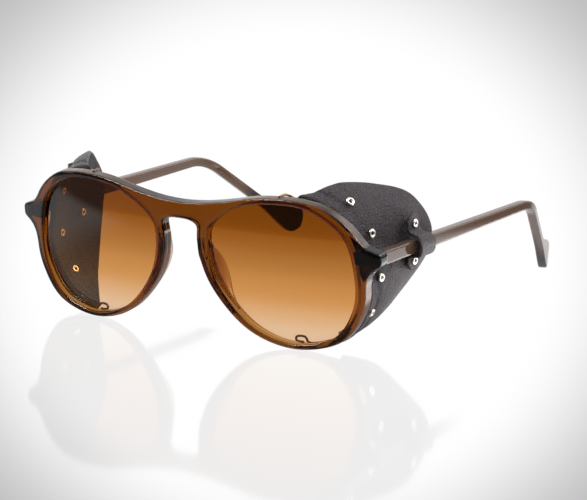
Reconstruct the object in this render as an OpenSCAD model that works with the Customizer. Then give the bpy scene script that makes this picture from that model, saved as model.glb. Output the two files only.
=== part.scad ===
// Glacier glasses: an acetate front with gradient lenses, wire-cored temples on
// five-barrel hinges, and clip-on leather side shields strapped over the arms.
// Left and right are the wearer's. +X runs to the wearer's left, +Y to the back
// and +Z up. The origin is on the resting plane, midway between the temples and
// midway between the front and the tips.

/* [Front] */
// Width of each lens opening
lens_w = 50.4; // [48:0.2:52]
// Height of each lens opening
lens_h = 45.6; // [43:0.2:47]
// Gap between the two lens openings
bridge_w = 19.8; // [18.6:0.2:21]
// Thickness of the acetate front
front_t = 4.5; // [4.4:0.1:5]
// Radius of the front's bow, seen from above
front_r = 280; // [260:5:320]
// Forward lean of the front's top edge, in degrees
lean = 6.5; // [5:0.5:8]
// Width of the rim above the lens
rim_top = 2; // [1.8:0.1:2.4]
// Width of the rim below the lens
rim_low = 1.7; // [1.5:0.1:2.2]
// Width of the rim beside the temple
rim_side = 3.4; // [3.2:0.1:3.8]
// Width of the rim beside the nose
rim_nose = 3.6; // [3.4:0.1:4]

/* [Lenses] */
// Radius of the lens's front surface
lens_r = 200; // [190:5:240]
// Thickness of the lens
lens_t = 2; // [1.8:0.1:2]
// Depth of the groove that holds the lens edge
groove = 0.8; // [0.6:0.1:0.9]

/* [Temples] */
// Length of the arm from its hinge to the ear bend
arm_len = 86.5; // [80:0.5:92]
// Length of the arc of the ear bend
bend_len = 15; // [13:1:18]
// Length of the temple behind the ear bend
tip_len = 43; // [39:1:46]
// Height of the arm at the hinge
arm_h = 4.6; // [4.4:0.1:4.8]
// Thickness of the arm at the hinge
arm_t = 3.6; // [3.4:0.1:3.8]
// Inward turn of the tip, in degrees
tip_turn = 21; // [12:1:24]
// Width of the paddle at the tip
paddle_w = 10; // [9:0.1:10.5]

/* [Hinges] */
// Diameter of the hinge barrels
barrel_d = 2.8; // [2.6:0.1:3]
// Diameter of the hinge screw
screw_d = 1.36; // [1.2:0.02:1.4]

/* [Side shields] */
// Thickness of the leather
leather_t = 1.2; // [1.1:0.1:1.3]
// Outward bulge of the leather between the rim and its free edge
bulge = 1.6; // [1.2:0.1:1.7]
// Width of the leather strap over the arm
strap_w = 8.5; // [7:0.5:9]
// Diameter of the wire frame
wire_d = 1.2; // [1:0.1:1.3]
// Diameter of an eyelet's flange
eyelet_d = 3; // [2.8:0.1:3.2]

/* [Hidden] */
$fn = 64;

// Colours
acetate = [0.36, 0.19, 0.07];
taupe = [0.42, 0.32, 0.26];
amber = [0.62, 0.36, 0.12, 0.75];
pad_tint = [0.55, 0.42, 0.33];
leather = [0.13, 0.12, 0.12];
nickel = [0.85, 0.81, 0.72];
steel = [0.6, 0.6, 0.62];

// Shape of a lens opening, as shares of its half width and half height, from
// the temple side up over the brow and round by the nose
lens_shape = [
    [1, 0], [0.89, 0.57], [0.49, 0.925], [0.03, 1], [-0.48, 0.92], [-0.915, 0.62],
    [-1, 0.28], [-0.86, -0.26], [-0.44, -0.79], [0.11, -1], [0.67, -0.87], [0.945, -0.46]
];
curve_steps = 7;
lens_x = (bridge_w + lens_w) / 2;
rim_x = lens_x + lens_w / 2 + rim_side;

// Bridge and end piece, in the plane of the front
bridge_top = 20.35;
keyhole_top = 14.85;
lug_reach = 5.2;
lug_low = 4.45;
lug_high = 9.15;
half_w = rim_x + lug_reach;

// Reach of the cuts through the front: back, ahead, and up or down
cut_back = 30;
cut_ahead = 10;
cut_high = 60;

// Lens seat
lens_depth = 0.9;
seat_gap = 0.02;

// Temple path, seen from above and from the side
arm_x = 66.9;
arm_up = 7.95;
arm_toe = 0.2;
arm_pitch = -0.5;
arm_start = 9;
bend_h = 3.2;
tip_t = 3.1;
edge_r = 0.85;
bend_steps = 8;
tip_steps = 20;
// Shares of the paddle's swell along the tip, from the bend to the end
tip_swell = [0, 0, 0, 0, 0, 0, 0.04, 0.2, 0.5, 0.82, 1, -0.1];
// Share of the swell that goes below the tip's lower edge
tip_dip = 0.22;
butt_gap = 0.15;

// Hinge
hinge_x = 63.4;
hinge_back = 13.05;
barrels = 5;
barrel_gap = 0.05;
stack_h = 4.4;
barrel_h = (stack_h - (barrels - 1) * barrel_gap) / barrels;
pin_gap = 0.04;
web_w = 2;
anchor = [3.7, 2.4, 4.4];
anchor_in = 2.2;
turn_gap = 0.12;
web_sunk = 0.3;
plate = [0.9, 9.5, 3.2];
plate_x = arm_x - arm_t / 2 - 0.1;
tang = [1.4, 1.2, 1.6];
head_d = 2.3;
head_h = 0.5;
slot_w = 0.35;
slot_h = 0.25;

// Core wire
core_r = 0.6;
core_gap = 0.03;
core_end = 12;

// Wire frame and leather
wire_r = wire_d / 2;
wire_depth = 2;
hem_r = wire_r + leather_t - 0.2;
hem_from = 2.6;
hem_to = -2.7;
stations = 9;
panel_steps = 27;
flap = 9;
// Length from which the leather has its full bulge
bulge_len = 28;
// Free edge of the leather from the brow to the lower rim: out from the middle,
// back from the bridge, and up from the lens centre
free_edge = [
    [44, 9.5, 25.6], [49, 17, 28], [56, 27.5, 26.4], [61.2, 36.5, 22.5], [63.55, 44.5, 12],
    [63.35, 43.8, 3], [59.5, 37, -7.3], [54.3, 29, -16.2], [48.2, 21.5, -19.6], [42.5, 14.5, -21.4]
];
// Ends of the wire: out from the middle, behind the rim's back, up from the lens centre
top_hook = [[35.8, -2, 25.6], [36.2, 0.6, 25.6], [37, 2, 24.6], [39, 2, 22.9]];
low_loop = [
    [39.6, 2, -22.9], [38.2, 2, -23], [36.8, 2, -22.7], [36.5, 2.2, -22],
    [37.4, 2.5, -21.5], [39.2, 2.9, -21.6]
];
// Hem eyelets: place along the hem and distance behind the wire
hem_spots = [[1.7, 7.4], [3.15, 6.5], [4.9, 7.1], [6.55, 6.7]];

// Strap over the arm
strap_back = 33;
strap_x = 65.15;
tab_up = 14.9;
tab_low = 3;
tab_r = 3.3;
// Eyelets of the strap: height, and grip behind the strap's tab
tab_grips = [[tab_up, 3.4], [tab_low, 2.65]];
strap_gap = 0.25;
strap_slack = 1.5;
strap_reach = 20;
eyelet_r = eyelet_d / 2;
shank_r = 0.95;
eyelet_bore = 0.6;
flange_h = 0.45;
strap_hole_gap = 0.35;

// Point of a smooth curve through four neighbours
function blend(a, b, c, d, t) =
    0.5 * (2 * b + (c - a) * t + (2 * a - 5 * b + 4 * c - d) * t * t + (3 * b - a - 3 * c + d) * t * t * t);

// Point at place s on an open line, and on a closed one
function pick(line, i) = line[max(0, min(len(line) - 1, i))];
function along(line, s) =
    let (i = max(0, min(floor(s), len(line) - 2)))
    blend(pick(line, i - 1), pick(line, i), pick(line, i + 1), pick(line, i + 2), s - i);
function turn(line, i) = line[((i % len(line)) + len(line)) % len(line)];
function around(line, s) =
    let (i = floor(s))
    blend(turn(line, i - 1), turn(line, i), turn(line, i + 1), turn(line, i + 2), s - i);
function unit(v) = v / norm(v);

// Lens outline at place s, grown by [temple side, nose side, top, bottom]
function rim_point(s, grow) =
    let (p = around(lens_shape, s))
    [
        lens_x + p.x * (lens_w / 2 + (p.x > 0 ? grow[0] : grow[1])),
        p.y * (lens_h / 2 + (p.y > 0 ? grow[2] : grow[3]))
    ];
function lens_outline(grow) =
    [for (s = [0:1 / curve_steps:len(lens_shape) - 0.01]) rim_point(s, grow)];
rim_grow = [rim_side, rim_nose, rim_top, rim_low];

// Distance of the front surface, moved back by depth, behind the bridge
function bow(u, depth) = front_r - sqrt(pow(front_r - depth, 2) - u * u);

// The front leans about the bridge, and stands on its lower rims
lens_up = -min([for (p = lens_outline(rim_grow)) p.y * cos(lean) + bow(p.x, 0) * sin(lean)]);

// Point behind the rim, in the coordinates out, back and up
function behind(u, w, depth) =
    let (y = bow(u, front_t + depth))
    [u, y * cos(lean) - w * sin(lean), w * cos(lean) + y * sin(lean)];

// Temple path: the arm, the arc of the ear bend, and the tip down to the floor
arm_run = hinge_back + arm_len - arm_start;
bend_up = arm_up - arm_h / 2 - arm_run * sin(arm_pitch);
function drop_angle(a, n) =
    let (bend_drop = bend_len * (1 - cos(a)) / (a * PI / 180))
    n == 0 ? a : drop_angle(asin((lens_up + bend_up - bend_drop) / tip_len), n - 1);
tip_drop = drop_angle(35, 12);
function heading(f) = arm_toe + (tip_turn - arm_toe) * f;
function pitch(f) = arm_pitch + (tip_drop - arm_pitch) * f;
function ahead(f) =
    [-sin(heading(f)) * cos(pitch(f)), cos(heading(f)) * cos(pitch(f)), -sin(pitch(f))];
arm_low = [arm_x, arm_start, arm_up - arm_h / 2];
bend_low = [
    for (i = 0, p = arm_low + arm_run * ahead(0); i <= bend_steps;
        p = p + bend_len / bend_steps * ahead((i + 0.5) / bend_steps), i = i + 1) p
];

// Stations of the temple: lower edge, share of the turn made, height, thickness
arm_stations = [for (f = [0, 0.1, 0.35, 0.7])
    [arm_low + f * arm_run * ahead(0), 0, arm_h + (bend_h - arm_h) * f, arm_t + (tip_t - arm_t) * f]];
bend_stations = [for (i = [0:bend_steps]) [bend_low[i], i / bend_steps, bend_h, tip_t]];
function rise(f) = cross([cos(heading(f)), sin(heading(f)), 0], ahead(f));
function swell(f) = (paddle_w - bend_h) * along(tip_swell, f * (len(tip_swell) - 1));
tip_stations = [for (i = [1:tip_steps])
    let (f = i / tip_steps, low = bend_low[bend_steps] + f * tip_len * ahead(1))
    [low - tip_dip * swell(f) * rise(1), 1, bend_h + swell(f), tip_t * (f < 0.95 ? 1 : 0.82)]];
temple_stations = concat(arm_stations, bend_stations, tip_stations);

// Section of the temple at a station: a rectangle with rounded edges
function temple_ring(st) =
    let (
        side = [cos(heading(st[1])), sin(heading(st[1])), 0],
        r = min(edge_r, st[2] / 2 - 0.1),
        a = st[3] / 2 - r
    )
    [
        for (c = [[-1, 0], [1, 0], [1, 1], [-1, 1]], k = [0, 45, 90])
            let (
                q = c == [-1, 0] ? 180 + k : c == [1, 0] ? 270 + k : c == [1, 1] ? k : 90 + k,
                across = c[0] * a + r * cos(q),
                above = (c[1] == 0 ? r : st[2] - r) + r * sin(q)
            )
            st[0] + across * side + above * rise(st[1])
    ];
temple_rings = [for (i = [len(temple_stations) - 1:-1:0]) temple_ring(temple_stations[i])];
tip_back = max([for (ring = temple_rings, p = ring) p.y]);
brow_back = min([for (p = lens_outline(rim_grow)) bow(p.x, 0) * cos(lean) - p.y * sin(lean)]);
front_back = min(brow_back, -bridge_top * sin(lean));

// Where the bridge stands, so that the origin is midway from front to tips
front_y = -(tip_back + front_back) / 2;
function place(p) = [p.x, front_y + p.y, lens_up + p.z];
function places(points) = [for (p = points) place(p)];

// Hem and leather surface at a station
function hem_s(j) = hem_from + (hem_to - hem_from) * j / stations;
function hem_point(j) =
    let (p = rim_point(hem_s(j), [-0.8, 0, -0.3, -0.3]))
    behind(p.x, p.y, wire_depth);
function panel_len(j) = norm(along(free_edge, j) - hem_point(j));
function panel_dir(j) = unit(along(free_edge, j) - hem_point(j));
function panel_mid(j) = (along(free_edge, j) + hem_point(j)) / 2;
function panel_normal(j) =
    let (t = panel_mid(min(stations, j + 0.2)) - panel_mid(max(0, j - 0.2)))
    unit(cross(t, panel_dir(j)));
function panel_point(j, e, n) =
    let (l = panel_len(j), f = max(0, e / l))
    hem_point(j) + e * panel_dir(j) + (n + 4 * bulge * min(1, l / bulge_len) * f * (1 - f)) * panel_normal(j);
function fold(e) = pow(max(0, 1 - e / 4), 2);

// Section of the leather: the outer face, the fold round the wire, the hem flap
function panel_ring(j) =
    let (
        l = panel_len(j),
        ef = min(flap, 0.42 * l),
        t = leather_t / 2,
        ends = [l, 0.84 * l, 0.66 * l, ef + 0.3, ef, min(3.2, 0.3 * l), min(1.4, 0.15 * l), 0],
        nose = [[-0.75 * hem_r, 0.66 * hem_r], [-0.95 * hem_r, 0.3 * hem_r]]
    )
    concat(
        [for (e = ends) panel_point(j, e, t + (hem_r - t) * fold(e))],
        [for (q = nose) panel_point(j, q[0], q[1])],
        [for (i = [1, 0]) panel_point(j, nose[i][0], -nose[i][1])],
        [for (i = [7:-1:0]) panel_point(j, ends[i], i > 3 ? -3 * t + (3 * t - hem_r) * fold(ends[i]) : -t)]
    );

// Outline of the strap from the side: round tabs, and a wider middle over the arm
strap_edge = [for (s = [0:0.2:3])
    along([[tab_r, tab_low], [strap_w / 2, tab_low + 2.6], [strap_w / 2, tab_up - 4.4], [tab_r, tab_up]], s)];
strap_outline = concat(
    strap_edge,
    [for (a = [15:15:165]) [tab_r * cos(a), tab_up + tab_r * sin(a)]],
    [for (i = [len(strap_edge) - 1:-1:0]) [-strap_edge[i].x, strap_edge[i].y]],
    [for (a = [195:15:345]) [tab_r * cos(a), tab_low + tab_r * sin(a)]]
);

// Wire path behind the rim
wire_path = concat(
    [for (p = top_hook) behind(p.x, p.z, p.y)],
    [for (j = [0:0.3:stations]) hem_point(j)],
    [for (p = low_loop) behind(p.x, p.z, p.y)]
);

// Ring of a round wire of radius r at point i of a path
function path_way(path, i) = unit(path[min(len(path) - 1, i + 1)] - path[max(0, i - 1)]);
function wire_ring(path, i, r, sides) =
    let (
        w = path_way(path, i),
        a = unit(cross(w, abs(w.z) > 0.8 ? [0, 1, 0] : [0, 0, 1])),
        b = cross(w, a)
    )
    [for (k = [0:sides - 1]) path[i] + r * cos(360 * k / sides) * a + r * sin(360 * k / sides) * b];

// Core wire path, along the middle of the arm and the tip
core_path = concat(
    [let (f = (hinge_back + plate.y - arm_start) / arm_run)
        arm_low + f * arm_run * ahead(0) + [0, 0, (arm_h + (bend_h - arm_h) * f) / 2]],
    [for (st = temple_stations)
        if (st[0].y > hinge_back + plate.y + 5 && st[0].y < tip_back - core_end)
            st[0] + min(st[2], arm_h) / 2 * rise(st[1])]
);

// Closed surface through a row of rings with equal counts, each anticlockwise about the way ahead
module skin(rings) {
    n = len(rings[0]);
    m = len(rings);
    last = (m - 1) * n;
    sides = [for (j = [0:m - 2], i = [0:n - 1], k = [0, 1])
        let (a = j * n + i, b = j * n + (i + 1) % n)
        k == 0 ? [a, b + n, b] : [a, a + n, b + n]];
    first_cap = [for (i = [0:n / 2 - 2], k = [0, 1])
        k == 0 ? [i, i + 1, n - 2 - i] : [i, n - 2 - i, n - 1 - i]];
    last_cap = [for (i = [0:n / 2 - 2], k = [0, 1])
        k == 0 ? [last + i, last + n - 2 - i, last + i + 1] : [last + i, last + n - 1 - i, last + n - 2 - i]];
    polyhedron([for (r = rings, p = r) p], concat(sides, first_cap, last_cap));
}

// The left side as drawn, or its mirror image
module on_side(side) {
    if (side == "left") children();
    else mirror([1, 0, 0]) children();
}

// Coordinates of the front: out from the middle, back, and up in its leaning plane
module in_front() {
    translate([0, front_y, lens_up]) rotate([lean, 0, 0]) children();
}

// Extrusion of an outline through the front from its face to far behind it
module through(outline) {
    translate([0, cut_back, 0]) rotate([90, 0, 0]) linear_extrude(cut_back + cut_ahead) polygon(outline);
}

// Layer of the bowed front between two depths
module layer(near, far) {
    translate([0, front_r, -cut_high]) difference() {
        cylinder(r = front_r - near, h = 2 * cut_high, $fn = 360);
        translate([0, 0, -cut_high]) cylinder(r = front_r - far, h = 4 * cut_high, $fn = 360);
    }
}

// Lens blank, grown by a fitting gap, in the coordinates of the front
module lens_blank(gap) {
    edge = groove + gap;
    turned = asin(lens_x / front_r);
    reach = lens_r + lens_depth;
    centre = [lens_x - reach * sin(turned), bow(lens_x, 0) + reach * cos(turned), 0];
    intersection() {
        through(lens_outline([edge, edge, edge, edge]));
        translate(centre) difference() {
            sphere(r = lens_r + gap, $fn = 200);
            sphere(r = lens_r - lens_t - gap, $fn = 200);
        }
    }
}

// Half of the outline of the bridge, round the keyhole
bridge_line = [for (s = [0:0.2:4])
    along([[0, bridge_top], [7, bridge_top + 0.35], [14, 21.65], [22, 23.1], [31, 24.5]], s)];
keyhole_line = [for (s = [0:0.2:5])
    along([[6.6, 2.5], [6.4, 5.4], [7.9, 9.6], [7.4, 12.6], [4.2, keyhole_top - 0.25], [0, keyhole_top]], s)];
bridge_half = concat(bridge_line, [[30, 23], [16, 16], [10.5, 8], [10, 2.5]], keyhole_line);

// Outline of the left end piece, flaring out of the rim
lug_top = [for (s = [0:0.25:7])
    along([[42.5, 24.2], [49.6, 23.4], [55.2, 20.35], [59.8, 16.3], [62.3, 12.7], [64.2, 10.75], [66.2, 9.9],
        [half_w - 0.9, lug_high]], s)];
lug_foot = [for (s = [0:0.25:5])
    along([[half_w - 0.9, lug_low], [66, 2.75], [64.75, 1], [64, -1.4], [63.5, -5], [61.8, -11]], s)];
lug_inside = [[59, -11], [58, 0], [55, 18], [48, 21.6]];
lug_outline = concat(
    lug_top, [[half_w, lug_high - 0.9], [half_w, lug_low + 0.9]], lug_foot, lug_inside
);

module frame_front() {
    color(acetate) difference() {
        in_front() difference() {
            intersection() {
                union() for (s = [0, 1]) mirror([s, 0, 0]) {
                    through(lens_outline(rim_grow));
                    through(bridge_half);
                    through(lug_outline);
                }
                layer(0, front_t);
            }
            for (s = [0, 1]) mirror([s, 0, 0]) {
                through(lens_outline([0, 0, 0, 0]));
                lens_blank(seat_gap);
            }
        }
        for (s = [0, 1]) mirror([s, 0, 0]) hinge_anchor();
    }
}

module lens(side) {
    color(amber) on_side(side) in_front() lens_blank(0);
}

// Pad spheres: out, behind the rim's back, up in the front's plane, radius
pad_spheres = [
    [8.7, 0, 5.4, 1.8], [9.8, 2.9, -1.5, 2], [11.9, 2.3, -6, 2], [15.4, 0, -12.2, 1.8], [10.5, 0, -3, 2.3],
    [13, 0, -8.5, 2.3]
];

module nose_pad(side) {
    color(pad_tint) on_side(side) in_front() difference() {
        hull() for (b = pad_spheres)
            translate([b[0], bow(b[0], front_t) + b[1], b[2]]) sphere(r = b[3], $fn = 24);
        layer(-cut_ahead, front_t);
    }
}

// Height of the hinge's middle, at the middle of the arm's front end
hinge_up = arm_up - (hinge_back - arm_start) * sin(arm_pitch);

// Anchor of the front half, sunk into the back of the end piece
module hinge_anchor() {
    back = hinge_back - barrel_d / 2 - turn_gap;
    translate(place([hinge_x - anchor_in, back - anchor.y, hinge_up - anchor.z / 2])) cube(anchor);
}

// One barrel of a hinge with its web, at level k of the stack
module barrel(k) {
    z = hinge_up - stack_h / 2 + k * (barrel_h + barrel_gap);
    translate(place([hinge_x, hinge_back, z])) {
        cylinder(d = barrel_d, h = barrel_h);
        children();
    }
}

module hinge_front(side) {
    color(steel) on_side(side) difference() {
        union() {
            hinge_anchor();
            for (k = [0, 2, 4]) barrel(k)
                translate([-web_w / 2, -barrel_d / 2 - web_sunk, 0])
                    cube([web_w, barrel_d / 2 + web_sunk, barrel_h]);
        }
        screw_bore();
    }
}

module screw_bore() {
    translate(place([hinge_x, hinge_back, hinge_up - stack_h]))
        cylinder(d = screw_d + 2 * pin_gap, h = 2 * stack_h);
}

module hinge_screw(side) {
    foot = place([hinge_x, hinge_back, hinge_up - stack_h / 2]);
    color(steel) on_side(side) translate(foot) difference() {
        union() {
            cylinder(d = screw_d, h = stack_h);
            translate([0, 0, stack_h]) cylinder(d = head_d, h = head_h);
        }
        translate([-head_d, -slot_w / 2, stack_h + head_h - slot_h]) cube([2 * head_d, slot_w, head_h]);
    }
}

// Plate of the temple half, let into the arm's inner face, with the tang that meets the core
module hinge_plate() {
    translate(place([plate_x, hinge_back - web_w / 2, hinge_up - plate.z / 2])) cube(plate);
    translate(place([plate_x, hinge_back + plate.y - tang.y, hinge_up - tang.z / 2]))
        cube([arm_x - plate_x + tang.x / 2, tang.y, tang.z]);
}

module hinge_temple(side) {
    color(steel) on_side(side) difference() {
        union() {
            hinge_plate();
            for (k = [1, 3]) barrel(k)
                translate([0, -web_w / 2, 0]) cube([plate_x - hinge_x + web_sunk, web_w, barrel_h]);
        }
        screw_bore();
    }
}

module temple(side) {
    color(taupe) on_side(side) difference() {
        skin([for (ring = temple_rings) places(ring)]);
        in_front() layer(-cut_ahead, front_t + butt_gap);
        hinge_plate();
        core_wire(core_r + core_gap);
    }
}

module core_wire(r) {
    path = places(core_path);
    skin([for (i = [0:len(path) - 1]) wire_ring(path, i, r, 8)]);
}

module temple_core(side) {
    color(steel) on_side(side) core_wire(core_r);
}

module wire_frame(r) {
    path = places(wire_path);
    skin([for (i = [0:len(path) - 1]) wire_ring(path, i, r, 8)]);
}

module shield_wire(side) {
    color(nickel) on_side(side) wire_frame(wire_r);
}

module shield_panel(side) {
    color(leather) on_side(side) difference() {
        skin([for (k = [0:panel_steps]) places(panel_ring(k * stations / panel_steps))]);
        for (spot = hem_spots) at_hem(spot) cylinder(r = shank_r, h = 8 * leather_t, center = true);
        for (z = [tab_up, tab_low]) at_tab(z)
            cylinder(r = shank_r + strap_hole_gap, h = 8 * leather_t, center = true);
    }
}

// Turn the z axis to a direction
module facing(v) {
    rotate([0, acos(v.z / norm(v)), atan2(v.y, v.x)]) children();
}

module at_hem(spot) {
    translate(place(panel_point(spot[0], spot[1], 0))) facing(panel_normal(spot[0])) children();
}

module at_tab(z) {
    translate(place([strap_x, strap_back, z])) rotate([0, 90, 0]) children();
}

// Hollow eyelet along z, with its flanges on a grip between two levels
module eyelet(from, to) {
    rotate_extrude() polygon([
        [eyelet_bore, from - flange_h], [shank_r, from - flange_h], [eyelet_r, from - 0.15], [eyelet_r, from],
        [shank_r, from], [shank_r, to], [eyelet_r, to], [eyelet_r, to + 0.15], [shank_r, to + flange_h],
        [eyelet_bore, to + flange_h]
    ]);
}

module hem_eyelets(side) {
    color(nickel) on_side(side) for (spot = hem_spots)
        at_hem(spot) eyelet(-1.5 * leather_t, leather_t / 2);
}

// Room for the arm inside the strap, and the strap's band and tabs, from behind
module strap_room(grow) {
    low = arm_up - arm_h / 2 - (strap_back - arm_start) * sin(arm_pitch);
    offset(r = grow) translate([0, low]) square([arm_x + arm_t / 2 + strap_slack, arm_h]);
}

module strap_profile() {
    intersection() {
        difference() {
            union() {
                strap_room(strap_gap + leather_t);
                translate([strap_x, tab_low - 2 * tab_r]) square([leather_t, tab_up - tab_low + 4 * tab_r]);
            }
            strap_room(strap_gap);
        }
        translate([strap_x, tab_low - 2 * tab_r]) square([strap_reach, tab_up - tab_low + 4 * tab_r]);
    }
}

module shield_strap(side) {
    color(leather) on_side(side) difference() {
        intersection() {
            translate(place([0, strap_back + strap_w, 0])) rotate([90, 0, 0])
                linear_extrude(2 * strap_w) strap_profile();
            translate(place([strap_x, strap_back, 0])) rotate([90, 0, 90])
                linear_extrude(strap_reach) polygon(strap_outline);
        }
        for (z = [tab_up, tab_low]) at_tab(z) cylinder(r = shank_r, h = 4 * leather_t, center = true);
    }
}

module strap_eyelets(side) {
    color(nickel) on_side(side) for (grip = tab_grips) at_tab(grip[0]) eyelet(-grip[1], leather_t);
}

frame_front();
lens("left");  // lens_left
lens("right");  // lens_right
nose_pad("left");  // nose_pad_left
nose_pad("right");  // nose_pad_right
hinge_front("left");  // hinge_front_left
hinge_front("right");  // hinge_front_right
hinge_screw("left");  // hinge_screw_left
hinge_screw("right");  // hinge_screw_right
shield_wire("left");  // shield_wire_left
shield_wire("right");  // shield_wire_right
shield_panel("left");  // shield_panel_left
shield_panel("right");  // shield_panel_right
hem_eyelets("left");  // hem_eyelets_left
hem_eyelets("right");  // hem_eyelets_right
temple("left");  // temple_left
temple("right");  // temple_right
temple_core("left");  // temple_core_left
temple_core("right");  // temple_core_right
hinge_temple("left");  // hinge_temple_left
hinge_temple("right");  // hinge_temple_right
shield_strap("left");  // shield_strap_left
shield_strap("right");  // shield_strap_right
strap_eyelets("left");  // strap_eyelets_left
strap_eyelets("right");  // strap_eyelets_right
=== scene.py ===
# %% [markdown]
# # Glacier glasses: looks around a CAD frame
# Glacier glasses keep glare out with gradient lenses and leather shields at the
# sides. The CAD part gives every piece its place, its size and its joints. This
# lesson builds the finished surfaces on top of it. Most surfaces ride on a CAD body,
# so that they follow when a temple folds; the leather shields and hem eyelets don't.

# %% Load the CAD frame
import math

import bpy
import bmesh
import numpy as np
from mathutils import Matrix, Vector, noise
from mathutils.geometry import delaunay_2d_cdt


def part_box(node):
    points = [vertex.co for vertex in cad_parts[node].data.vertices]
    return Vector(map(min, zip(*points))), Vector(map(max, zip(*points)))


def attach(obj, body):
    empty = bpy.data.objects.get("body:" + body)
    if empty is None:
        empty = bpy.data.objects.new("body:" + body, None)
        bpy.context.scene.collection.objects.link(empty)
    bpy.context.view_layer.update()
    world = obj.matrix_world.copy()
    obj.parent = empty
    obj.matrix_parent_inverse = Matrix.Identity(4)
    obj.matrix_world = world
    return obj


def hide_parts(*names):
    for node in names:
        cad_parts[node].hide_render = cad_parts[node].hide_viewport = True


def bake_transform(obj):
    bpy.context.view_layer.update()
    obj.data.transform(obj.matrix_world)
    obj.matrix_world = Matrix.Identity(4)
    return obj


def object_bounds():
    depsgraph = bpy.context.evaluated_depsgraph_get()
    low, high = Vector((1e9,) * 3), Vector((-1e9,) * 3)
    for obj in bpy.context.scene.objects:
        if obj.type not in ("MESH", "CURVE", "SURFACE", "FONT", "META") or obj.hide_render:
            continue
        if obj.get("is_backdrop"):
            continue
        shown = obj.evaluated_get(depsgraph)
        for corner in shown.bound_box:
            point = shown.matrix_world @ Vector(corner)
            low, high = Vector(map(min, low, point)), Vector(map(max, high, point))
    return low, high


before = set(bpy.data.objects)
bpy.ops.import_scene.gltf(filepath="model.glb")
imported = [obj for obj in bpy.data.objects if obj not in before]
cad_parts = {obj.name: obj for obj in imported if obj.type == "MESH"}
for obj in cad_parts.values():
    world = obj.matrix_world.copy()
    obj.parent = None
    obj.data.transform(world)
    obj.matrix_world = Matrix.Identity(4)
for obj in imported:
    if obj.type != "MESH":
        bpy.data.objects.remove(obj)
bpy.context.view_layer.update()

# %% [markdown]
# ## Sizes
# Glasses are sized in millimetres, by lens, bridge and temple. Pieces placed by eye would
# not line up with the CAD, so the sizes of its source are repeated: out from the middle,
# back from the bridge and up from the lens centre. The hinge screw tells where that
# corner stands in the row.

# %% Shared sizes
MM = 0.001
LENS_W, LENS_H, BRIDGE_W = 50.4, 45.6, 19.8
FRONT_T, FRONT_R, LEAN = 4.5, 280.0, math.radians(6.5)
RIM_GROW = (3.4, 3.6, 2.0, 1.7)
LENS_R, LENS_T, LENS_DEPTH = 200.0, 2.0, 0.9
LUG_REACH = 5.2
LENS_X = (BRIDGE_W + LENS_W) / 2
HALF_W = LENS_X + LENS_W / 2 + RIM_GROW[0] + LUG_REACH
ARM_X, ARM_UP, ARM_H, ARM_T, ARM_START = 66.9, 7.95, 4.6, 3.6, 9.0
ARM_TOE, ARM_PITCH = 0.2, -0.5
HINGE_BACK, HINGE_HALF = 13.05, 2.2
LEATHER = 1.2
SIDES = {"left": 1, "right": -1}

hinge_up = ARM_UP - (HINGE_BACK - ARM_START) * math.sin(math.radians(ARM_PITCH))
screw_low, screw_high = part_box("hinge_screw_left")
FRONT_Y = (screw_low.y + screw_high.y) / 2 / MM - HINGE_BACK
LENS_UP = screw_low.z / MM - hinge_up + HINGE_HALF
COS, SIN = math.cos(LEAN), math.sin(LEAN)
print(f"bridge at {FRONT_Y:.2f}, lens centre at {LENS_UP:.2f} mm")

# %% [markdown]
# ## Curves and meshes
# Most pieces are lofts: a row of cross-sections joined by faces. Curve objects with
# a bevel could do that too. Arrays of points are used, because they follow the CAD's
# formulas and give a plain mesh.

# %% Curves and places
def spline(points, s, closed=False):
    """Smooth curve through points, at places s counted in points."""
    p = np.asarray(points, float)
    n = len(p)
    s = np.atleast_1d(np.asarray(s, float))
    i = np.floor(s).astype(int)
    if not closed:
        i = np.clip(i, 0, n - 2)
    t = (s - i).reshape((-1,) + (1,) * (p.ndim - 1))
    a, b, c, d = (p[(i + k) % n] if closed else p[np.clip(i + k, 0, n - 1)] for k in (-1, 0, 1, 2))
    return 0.5 * (2 * b + (c - a) * t + (2 * a - 5 * b + 4 * c - d) * t**2 + (3 * b - a - 3 * c + d) * t**3)


def row(out, back, up):
    """Row coordinates, in metres."""
    return np.stack(np.broadcast_arrays(out, FRONT_Y + back, LENS_UP + up), -1) * MM


def mirrored(points, side):
    """Row coordinates of a piece on either side."""
    p = np.asarray(points)
    return row(side * p[..., 0], p[..., 1], p[..., 2])


def bow(u, depth):
    """How far back the bowed front lies at u."""
    return FRONT_R - np.sqrt((FRONT_R - depth) ** 2 - u * u)


def leaning(u, w, depth):
    """Out, back and up of a point of the bowed, leaning front."""
    y = bow(u, depth)
    return u, y * COS - w * SIN, w * COS + y * SIN


def unit(v):
    return v / np.linalg.norm(v, axis=-1, keepdims=True)


print(f"ends bowed back by {bow(HALF_W, 0):.1f} mm")

# %% Meshes
WELD, SHARP_FROM, FLAT_WEIGHT = 1e-7, math.radians(40), 90


def add(name, data):
    """A new object in the scene."""
    obj = bpy.data.objects.new(name, data)
    bpy.context.scene.collection.objects.link(obj)
    return obj


def tell(obj):
    print(obj.name, len(obj.data.polygons), "faces")


def new_object(name, points, faces, material):
    """Welded, smooth-shaded mesh with its normals outward."""
    mesh = bpy.data.meshes.new(name)
    mesh.from_pydata([tuple(p) for p in points], [], [tuple(f) for f in faces])
    bm = bmesh.new()
    bm.from_mesh(mesh)
    bmesh.ops.remove_doubles(bm, verts=bm.verts, dist=WELD)
    bmesh.ops.recalc_face_normals(bm, faces=bm.faces)
    bm.to_mesh(mesh)
    bm.free()
    mesh.shade_smooth()
    mesh.materials.append(material)
    return add(name, mesh)


def bake(obj):
    """The evaluated shape becomes the object's plain mesh."""
    depsgraph = bpy.context.evaluated_depsgraph_get()
    made = bpy.data.meshes.new_from_object(obj.evaluated_get(depsgraph))
    obj.modifiers.clear()
    obj.data = made


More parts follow.
